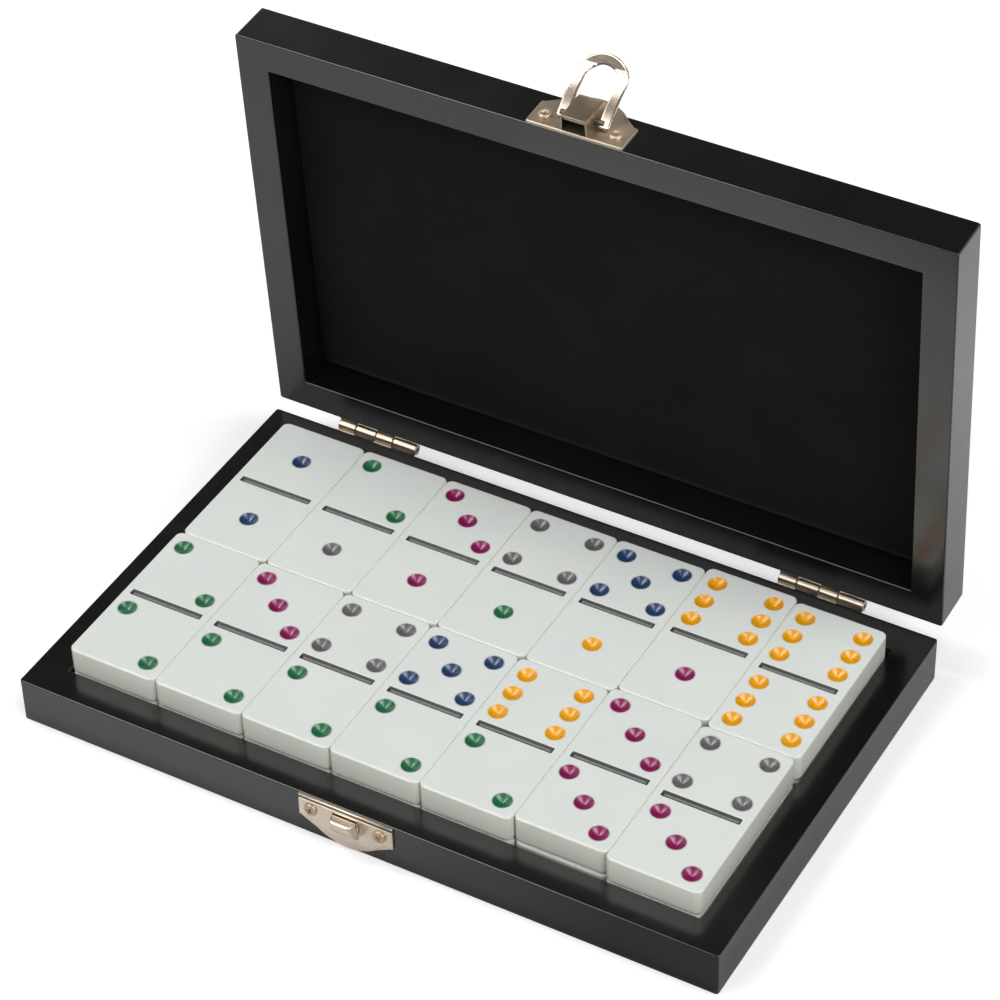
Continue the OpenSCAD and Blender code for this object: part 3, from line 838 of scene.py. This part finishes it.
LID_EAR = 8.9 * MM
LID_LOBE = 15.4 * MM
BASE_EAR = 7 * MM
BASE_MARGIN = 0.8 * MM    # bare wood between the base plate's lobe and the underside
BASE_PLATE_EDGE = 0.22 * MM
BAND = 1.3 * MM           # strip along the rim, made apart from the base plate's face
NOSE_WIDTH = 6.8 * MM
NOSE_INSET = 2.3 * MM
NOSE_REACH = 3.0 * MM
NOSE_HEIGHT = 6.0 * MM
CUT_DEPTH = 0.6 * MM      # of the slit and the side cuts that free the nose

lid_plate = bmesh.new()
lid_outline = soften_corners(plate_outline(LID_EAR, LID_LOBE, PLATE_WIDTH / 2), 0.75 * MM)
pressed_sheet(lid_plate, lid_outline, 0, PLATE, 0.5 * MM)
piece("lid_catch_plate", lid_plate, ON_LID, [NICKEL_PLATE], "lid",
      ["catch_lid_plate"])


def side_slot(side):
    """The curved cut beside the nose, anticlockwise."""
    points = [(3.50, 0.5), (3.95, 1.4), (4.0, 2.6), (3.5, 3.8), (3.25, 3.75), (3.65, 2.5),
              (3.6, 1.6), (3.3, 0.7)]
    points = [(side * x * MM, NOSE_INSET + y * MM) for x, y in points]
    return points if side > 0 else points[::-1]


base_plate = bmesh.new()
half = PLATE_WIDTH / 2
outline = [(x, max(y, BAND))
           for x, y in plate_outline(BASE_EAR, BASE_HEIGHT - BASE_MARGIN, half)]
slit_half = NOSE_WIDTH / 2 + 0.2 * MM
slit = [(-slit_half, NOSE_INSET - 0.25 * MM), (slit_half, NOSE_INSET - 0.25 * MM),
        (slit_half, NOSE_INSET + 0.4 * MM), (-slit_half, NOSE_INSET + 0.4 * MM)]
pressed_sheet(base_plate, soften_corners(outline, 0.45 * MM), 0, PLATE, BASE_PLATE_EDGE,
              [soften_corners(slit, 0.12 * MM), side_slot(-1), side_slot(1)], CUT_DEPTH)
# The rolled edge at the rim, and the dip between it and the plate's face, in the darker
# nickel as painted shade
block(base_plate, (-half, 0.03 * MM, 0), (half, 0.5 * MM, PLATE), BASE_PLATE_EDGE)
block(base_plate, (-half, 0.3 * MM, 0), (half, BAND + 0.1 * MM, 0.45 * MM), 0.05 * MM, 2)

# The pressed nose: a flat top, a tight ridge and a front that runs down to the plate
NOSE_FRONT = [(0.0, 0.2), (0.0, 0.80), (0.012, 0.90), (0.035, 0.965), (0.07, 0.995),
              (0.11, 1.0), (0.17, 0.985), (0.30, 0.93), (0.45, 0.82), (0.60, 0.66),
              (0.75, 0.45), (0.88, 0.24), (0.98, 0.03)]
NOSE_STEPS = 18
loops = []
for i in range(NOSE_STEPS + 1):
    t = -1 + 2 * i / NOSE_STEPS
    cheek = 1 - abs(t) ** 10
    loop = []
    for down, out in NOSE_FRONT:
        narrow = 1 - 0.16 * out ** 2
        loop.append(base_plate.verts.new((t * narrow * NOSE_WIDTH / 2,
                                          NOSE_INSET + down * NOSE_HEIGHT,
                                          PLATE + NOSE_REACH * out * (0.86 + 0.14 * cheek))))
    for down in (0.98, 0.0):
        loop.append(base_plate.verts.new((t * NOSE_WIDTH / 2, NOSE_INSET + down * NOSE_HEIGHT,
                                          0.2 * MM)))
    loops.append(loop)
loft(base_plate, loops)
piece("base_catch_plate", base_plate, ON_BASE, [NICKEL_KEEPER, NICKEL_RECESS_SHADE, NICKEL_PAINTED_SHADE], "base",
      ["catch_base_plate"])


# ---- Housing of the loop

HOUSING_WIDTH = 7.4 * MM
HOUSING_HEIGHT = 4.4 * MM
HOUSING_LENGTH = 10.5 * MM
HOUSING_INSET = 0.45 * MM
HOUSING_TAPER = 0.15 * MM
SHEET = 0.5 * MM
ROLL = 2.0 * MM           # radius of the bend that closes its far end
ROLL_STEPS = 8
LIP_START = 0.3 * MM      # the sheet's end, folded in under the mouth's top
LIP_LENGTH = 1.0 * MM
LIP_DEPTH = 0.9 * MM


def channel(inset, height):
    """The housing's rounded arch over the plate, from its left foot to its right foot."""
    foot = HOUSING_WIDTH / 2 - inset
    top = foot - HOUSING_TAPER
    radius = max(0.5 * MM - inset, 0.15 * MM)
    arc = [(top - radius + side, height - down) for side, down in quarter(radius, 4)]
    right = arc + [((top + foot) / 2, 0.5 * (height - radius)), (foot, 0)]
    return [(-x, z) for x, z in reversed(right)] + right


def strip(bm, first, second, material=0):
    """Quads between two open rows of vertices."""
    for i in range(len(first) - 1):
        face = bm.faces.new((first[i], first[i + 1], second[i + 1], second[i]))
        face.material_index = material


def station(bm, along, inset, height):
    """One arch of the housing, at a distance from its open end."""
    return [bm.verts.new((x, HOUSING_INSET + along, PLATE + z))
            for x, z in channel(inset, height)]


housing = bmesh.new()
outside = [(along, edge, HOUSING_HEIGHT - edge) for along, edge in
           ((0, 0.10 * MM), (0.04 * MM, 0.03 * MM), (0.12 * MM, 0), (0.4 * MM, 0))]
for k in range(ROLL_STEPS):
    turn = math.pi / 2 * k / ROLL_STEPS
    outside.append((HOUSING_LENGTH - ROLL * (1 - math.sin(turn)), 0,
                    HOUSING_HEIGHT - ROLL * (1 - math.cos(turn))))
outside.append((HOUSING_LENGTH, 0.02 * MM, 1.2 * MM))
outer_rows = [station(housing, *place) for place in outside]
inner_rows = [station(housing, along, SHEET - drop, HOUSING_HEIGHT - SHEET + drop)
              for along, drop in ((0, 0.05 * MM), (0.08 * MM, 0), (0.5 * HOUSING_LENGTH, 0))]
for first, second in zip(outer_rows, outer_rows[1:]):
    strip(housing, first, second)
strip(housing, inner_rows[0], outer_rows[0])
strip(housing, inner_rows[1], inner_rows[0])
# The inside of the arch in the near-black nickel, a painted shade
strip(housing, inner_rows[2], inner_rows[1], PAINTED_SHADE_INDEX)
housing.faces.new(inner_rows[-1]).material_index = PAINTED_SHADE_INDEX
housing.faces.new(outer_rows[-1])
lip_half = HOUSING_WIDTH / 2 - SHEET - HOUSING_TAPER
lip_start = HOUSING_INSET + LIP_START
lip_top = PLATE + HOUSING_HEIGHT - SHEET
block(housing, (-lip_half, lip_start, lip_top - LIP_DEPTH),
      (lip_half, lip_start + LIP_LENGTH, lip_top + 0.02 * MM), 0.2 * MM)
piece("loop_housing", housing, ON_LID, [NICKEL_DULL, NICKEL_RECESS_SHADE], "lid",
      ["catch_housing"])


# ---- The loop

PEG = 1.6 * MM
PIVOT_HEIGHT = 2.3 * MM
PIVOT_INSET = 5 * MM
LOOP_BAR = 3.0 * MM
LOOP_SHEET = 0.7 * MM
LOOP_ARM = 13.7 * MM
LOOP_TIP = 3.7 * MM
LOOP_BEND = math.radians(38)
LOOP_REST = math.radians(30)
LOOP_INNER = 4.2 * MM     # half the free width between its arms
LOOP_SHIFT = 0.45 * MM    # it lies over to one side, with its play on its pegs
LOOP_ARCH = math.radians(9)
LOOP_HEEL = 0.4 * MM      # how far its arms run past their pegs
FOLD = 0.8 * MM           # length over which its tip bends
LEAD = 2 * MM             # how far the bent line starts before the pivot
ARM_STEPS = 24
BOW_STEPS = 64


def bent_line():
    """The loop's middle surface at even steps: (length, along, up, slope)."""
    step = 0.05 * MM
    length, along, up = -LEAD, -LEAD, 0.0
    points = []
    while length < LOOP_ARM + LOOP_TIP + MM:
        share = min(max(length / LOOP_ARM, 0), 1)
        slope = LOOP_ARCH * (1 - 2 * share)
        slope += LOOP_BEND * min(max((length - LOOP_ARM) / FOLD + 0.5, 0), 1)
        points.append((length, along, up, slope))
        length += step
        along += step * math.cos(slope)
        up += step * math.sin(slope)
    lift = points[round(LEAD / step)][2]
    return [(length, along, up - lift, slope) for length, along, up, slope in points]


BENT = bent_line()


def on_bend(length):
    """(along, up, slope) of the loop's middle surface at a length from its pivot."""
    index = (length - BENT[0][0]) / (BENT[1][0] - BENT[0][0])
    low = min(max(int(index), 0), len(BENT) - 2)
    share = index - low
    return [BENT[low][k] + share * (BENT[low + 1][k] - BENT[low][k]) for k in (1, 2, 3)]


def bar_section():
    """Rounded section of the bar, (across, up), with close points on its flat sides."""
    points = rounded_loop(LOOP_BAR / 2, LOOP_SHEET / 2, 0.2 * MM, 3)
    dense = []
    for here, after in zip(points, points[1:] + points[:1]):
        steps = 7 if abs(after[0] - here[0]) > 0.5 * LOOP_BAR else 1
        dense += [(here[0] + (after[0] - here[0]) * k / steps,
                   here[1] + (after[1] - here[1]) * k / steps) for k in range(steps)]
    return dense


loop = bmesh.new()
heel = -(PEG / 2 + LOOP_HEEL)
middle = LOOP_INNER + LOOP_BAR / 2
bow = LOOP_ARM + LOOP_TIP - LOOP_INNER - LOOP_BAR
path = [(math.pi, heel + (bow - heel) * i / ARM_STEPS) for i in range(ARM_STEPS)]
path += [(math.pi * (1 - i / BOW_STEPS), bow) for i in range(BOW_STEPS + 1)]
path += [(0, place) for _, place in reversed(path[:ARM_STEPS])]
section = bar_section()
loops = []
for index, (angle, place) in enumerate(path):
    shrink = 0.9 if index in (0, len(path) - 1) else 1
    row = []
    for u, v in section:
        reach = middle + u * shrink
        along, up, slope = on_bend(place + reach * math.sin(angle))
        v *= shrink
        row.append(loop.verts.new((LOOP_SHIFT + reach * math.cos(angle),
                                   along - v * math.sin(slope), up + v * math.cos(slope))))
    loops.append(row)
loft(loop, loops)
pegs = bmesh.new()
for side in (-1, 1):
    turned_rod(pegs, Vector((side * (HOUSING_WIDTH / 2 - SHEET), 0, 0)),
               Vector((side * (LOOP_INNER + 0.6 * LOOP_BAR), 0, 0)), PEG / 2, 0.2 * MM, 32)
# The pegs in the grey-brown nickel, a painted shade
for face in pegs.faces:
    face.material_index = PAINTED_SHADE_INDEX
join_mesh(loop, pegs)
AT_PIVOT = (ON_LID @ Matrix.Translation((0, PIVOT_INSET, PIVOT_HEIGHT))
            @ Matrix.Rotation(LOOP_REST, 4, "X"))
piece("latch_loop", loop, AT_PIVOT, [NICKEL_LOOP, NICKEL_PAINTED_SHADE], "catch_loop",
      ["catch_loop"])


# ---- Hinges

BARREL = 3.0 * MM
PIN = 1.5 * MM
LEAF = 0.8 * MM
LEAF_HEIGHT = 9 * MM
BARREL_GAP = 0.8 * MM
KNUCKLE_GAP = 0.25 * MM
LEAF_START = BARREL / 2 + 0.4 * MM
BASE_LEAF_START = 0.55 * MM   # it closes the gap under the knuckles
LEAF_SCREWS = 0.29            # from a hinge's middle to its screws, as a share of its length
# Ends of the knuckles as shares of the length, from the left: lid, base, lid, base
KNUCKLES = [0, 0.22, 0.48, 0.7, 1]


def hinge_place(side):
    """A hinge's own frame, with its axis along X, Y out of the back, Z up; and its length."""
    low, high = corners(f"{side}_hinge_pin")
    middle = Vector(((low.x + high.x) / 2, HINGE_POINT.y, HINGE_POINT.z))
    return Matrix.Translation(middle), high.x - low.x


def hinge_leaf(name, side, up):
    """A leaf with its two knuckles; up is 1 for the lid's and -1 for the base's."""
    place, length = hinge_place(side)
    length += KNUCKLE_GAP
    bm = bmesh.new()
    face = -BARREL / 2 - BARREL_GAP
    for i in ((0, 2) if up > 0 else (1, 3)):
        start = (KNUCKLES[i] - 0.5) * length + KNUCKLE_GAP / 2
        end = (KNUCKLES[i + 1] - 0.5) * length - KNUCKLE_GAP / 2
        turned_rod(bm, Vector((start, 0, 0)), Vector((end, 0, 0)), BARREL / 2, 0.16 * MM)
        low, high = start + 0.05 * MM, end - 0.05 * MM
        tab = sorted((0.1 * LEAF * up, 0.9 * LEAF * up))
        rise = sorted((0, up * (LEAF_START + 0.3 * MM)))
        # The tabs under the knuckles in the grey-brown nickel, a painted shade
        block(bm, (low, face, tab[0]), (high, 0, tab[1]), 0.2 * MM, PAINTED_SHADE_INDEX)
        block(bm, (low, face, rise[0]), (high, face + LEAF, rise[1]), 0.12 * MM, PAINTED_SHADE_INDEX)
    half_length = length / 2 - KNUCKLE_GAP / 2
    ends = (LEAF_START, LEAF_HEIGHT) if up > 0 else (-LEAF_HEIGHT, -BASE_LEAF_START)
    outline = soften_corners([(-half_length, ends[0]), (half_length, ends[0]),
                              (half_length, ends[1]), (-half_length, ends[1])], 0.5 * MM)
    sheet = bmesh.new()
    pressed_sheet(sheet, outline, 0, LEAF, 0.2 * MM)
    upright = Matrix(((-1, 0, 0, 0), (0, 0, 1, face), (0, 1, 0, 0), (0, 0, 0, 1)))
    bmesh.ops.transform(sheet, matrix=upright, verts=sheet.verts)
    join_mesh(bm, sheet)
    body = "lid" if up > 0 else "base"
    swing = SWING if up > 0 else Matrix.Identity(4)
    piece(name, bm, swing @ place, [NICKEL, NICKEL_PAINTED_SHADE], body,
          [f"{side}_hinge_{body}_leaf"])


for side in ("left", "right"):
    hinge_leaf(f"{side}_base_leaf", side, -1)
    hinge_leaf(f"{side}_lid_leaf", side, 1)
    place, length = hinge_place(side)
    pin = bmesh.new()
    end = Vector((length / 2, 0, 0))
    turned_rod(pin, -end, end, PIN / 2, 0.2 * MM, 32)
    piece(f"{side}_pin", pin, place, [PINS], "base", [f"{side}_hinge_pin"])


def leaf_screw_places(up):
    """Where the screws of both hinges stand, on the lid's leaves or on the base's."""
    places = []
    height = LEAF_START + (LEAF_HEIGHT - LEAF_START) / 2
    for side in ("left", "right"):
        place, length = hinge_place(side)
        for x in (-1, 1):
            spot = Matrix.Translation((x * LEAF_SCREWS * (length + KNUCKLE_GAP),
                                       LEAF - BARREL / 2 - BARREL_GAP, up * height))
            places.append(place @ spot @ Matrix.Rotation(-math.pi / 2, 4, "X"))
    return places


screws("base_leaf_screws", leaf_screw_places(-1), "base", "base_hinge_screws")
screws("lid_leaf_screws", [SWING @ place for place in leaf_screw_places(1)], "lid",
       "lid_hinge_screws")


# ---------------------------------------------------------------- camera

# The photo's viewpoint, and the directions that are right and up in it
CAMERA_PLACE = Vector((0.34725, -0.57124, 0.64166))
CAMERA_RIGHT = Vector((0.86904, 0.49407, -0.02584))
CAMERA_UP = Vector((-0.30989, 0.58430, 0.75004))

camera = bpy.data.cameras.new("camera")
camera.sensor_width = 36
camera.sensor_fit = "HORIZONTAL"
camera.lens = 131.08
camera.shift_x = 0.0075
camera.shift_y = 0.0405
camera.clip_start = 0.01
eye = bpy.data.objects.new("camera", camera)
bpy.context.scene.collection.objects.link(eye)
right = CAMERA_RIGHT.normalized()
up = (CAMERA_UP - CAMERA_UP.dot(right) * right).normalized()
turn = Matrix((right, up, right.cross(up))).transposed().to_4x4()
eye.matrix_world = Matrix.Translation(CAMERA_PLACE) @ turn
bpy.context.scene.camera = eye


# ---------------------------------------------------------------- studio

FLOOR_REACH = 6                # metres from the box to the floor's sides
FLOOR_SEEN = grey(0.90)        # to the camera
FLOOR_LIT = grey(0.80)         # to soft light
MIRROR_SHADE_NEAR = grey(0.54)        # painted shade in mirrors, 0.16 m and more in front of the middle
MIRROR_SHADE_FAR = grey(0.70)         # painted shade in mirrors, from 0.09 m in front of the middle backwards
MIRROR_SHADE_RIGHT = grey(0.26)       # painted shade in mirrors, to the right in front of the box
WORLD_LIGHT = 0.14             # strength of the soft light from all round


def studio_floor():
    """The floor: white to the camera but for the box's soft shadow, and in mirrors darker in
    front of the box, a painted shade.
    """
    reach = FLOOR_REACH
    mesh = bpy.data.meshes.new("floor")
    mesh.from_pydata([(-reach, -reach, 0), (reach, -reach, 0), (reach, reach, 0),
                      (-reach, reach, 0)], [], [(0, 1, 2, 3)])
    floor = bpy.data.objects.new("floor", mesh)
    bpy.context.scene.collection.objects.link(floor)
    g = Graph("floor_white")
    g.set(Roughness=0.9, Specular_IOR_Level=0.1, Emission_Color=grey(1))
    path = g.add("ShaderNodeLightPath").outputs
    mirrors = path["Is Glossy Ray"]
    seen = g.result_of("MAXIMUM", path["Is Camera Ray"], path["Is Transmission Ray"])
    split = g.add("ShaderNodeSeparateXYZ")
    g.link(g.place, split.inputs[0])
    x, y = split.outputs["X"], split.outputs["Y"]

    # Painted shade in mirrors: the floor darker in front of the box, and darkest to its front
    # right
    in_front = g.span(y, 1.0, 0.0, -0.062, -0.060)
    right_shade_mask = g.result_of("MULTIPLY", in_front, g.span(x, 0.0, 1.0, -0.02, 0.07))
    mirror_shade = g.ramp(g.span(y, 0.0, 1.0, -0.16, -0.09), [(0, MIRROR_SHADE_NEAR), (1, MIRROR_SHADE_FAR)])
    mirror_shade = g.mixed(right_shade_mask, mirror_shade, MIRROR_SHADE_RIGHT)
    shade = g.mixed(mirrors, FLOOR_LIT, mirror_shade)
    g.link(g.mixed(seen, shade, FLOOR_SEEN), g.shader.inputs["Base Color"])

    # It glows to the camera, more so far from the box; behind the box it glows to mirrors
    # only, a painted reflection
    away = g.add("ShaderNodeVectorMath", operation="LENGTH")
    g.link(g.place, away.inputs[0])
    white = g.result_of("MULTIPLY", g.span(away.outputs["Value"], 0.36, 1.0, 0.25, 1.1), seen)
    behind = g.result_of("MULTIPLY", g.span(y, 0.0, 0.45, 0.08, 0.18), mirrors)
    g.link(g.result_of("ADD", white, behind), g.shader.inputs["Emission Strength"])
    mesh.materials.append(g.material)


def studio_world():
    """Plain white where the camera looks; mirrors see white low at the back, dark above."""
    world = bpy.data.worlds.new("studio")
    bpy.context.scene.world = world
    world.use_nodes = True
    world.node_tree.nodes.clear()
    g = Nodes(world.node_tree)

    def background(colour, strength):
        node = g.add("ShaderNodeBackground")
        node.inputs["Color"].default_value = colour
        node.inputs["Strength"].default_value = strength
        return node

    def choice(factor, first, second):
        node = g.add("ShaderNodeMixShader")
        for source, socket in zip((factor, first, second), node.inputs):
            g.link(source, socket)
        return node.outputs[0]

    path = g.add("ShaderNodeLightPath").outputs
    split = g.add("ShaderNodeSeparateXYZ")
    g.link(g.add("ShaderNodeTexCoord").outputs["Generated"], split.inputs[0])
    low = g.span(split.outputs["Z"], 1.0, 0.04, 0.20, 0.62)
    at_back = g.span(split.outputs["Y"], 0.12, 1.0, -0.7, 0.2)
    in_mirrors = background(grey(0.8), 1.0)
    g.link(g.result_of("MULTIPLY", low, at_back), in_mirrors.inputs["Strength"])
    mirrors = g.result_of("MAXIMUM", path["Is Glossy Ray"], path["Is Transmission Ray"])
    unseen = choice(mirrors, background(grey(0.8), WORLD_LIGHT).outputs[0],
                    in_mirrors.outputs[0])
    surface = choice(path["Is Camera Ray"], unseen, background(grey(1), 1.0).outputs[0])
    g.link(surface, g.add("ShaderNodeOutputWorld").inputs["Surface"])


LAMPS_AIM = Vector((0, 0, 0.03))   # the middle of the box


def softbox(name, place, width, height, along, power):
    """A soft lamp that looks at the box; its height runs along the given direction."""
    light = bpy.data.lights.new(name, "AREA")
    light.shape = "RECTANGLE"
    light.size = width
    light.size_y = height
    light.energy = power
    lamp = bpy.data.objects.new(name, light)
    bpy.context.scene.collection.objects.link(lamp)
    back = (Vector(place) - LAMPS_AIM).normalized()
    up = Vector(along)
    up = (up - up.dot(back) * back).normalized()
    turn = Matrix((up.cross(back), up, back)).transposed().to_4x4()
    lamp.matrix_world = Matrix.Translation(place) @ turn


studio_floor()
studio_world()
# Place, width, height, direction of the height, watts
softbox("left_strip", (-0.61, 0.05, 1.32), 0.60, 0.4, (-0.5, 0.86, 0), 4.8)
softbox("left_glow", (-0.48, -0.36, 1.20), 0.36, 0.42, (0, 1, 0), 0.09)
softbox("right_strip", (0.52, 0.22, 1.34), 0.60, 0.45, (-0.5, 0.86, 0), 5.0)
softbox("key", (-0.83, -1.10, 1.22), 1.3, 1.0, (0, 0, 1), 11.8)
softbox("fill", (1.2, -0.6, 0.9), 0.7, 0.7, (0, 0, 1), 9.6)
bpy.context.scene.view_settings.view_transform = "Standard"
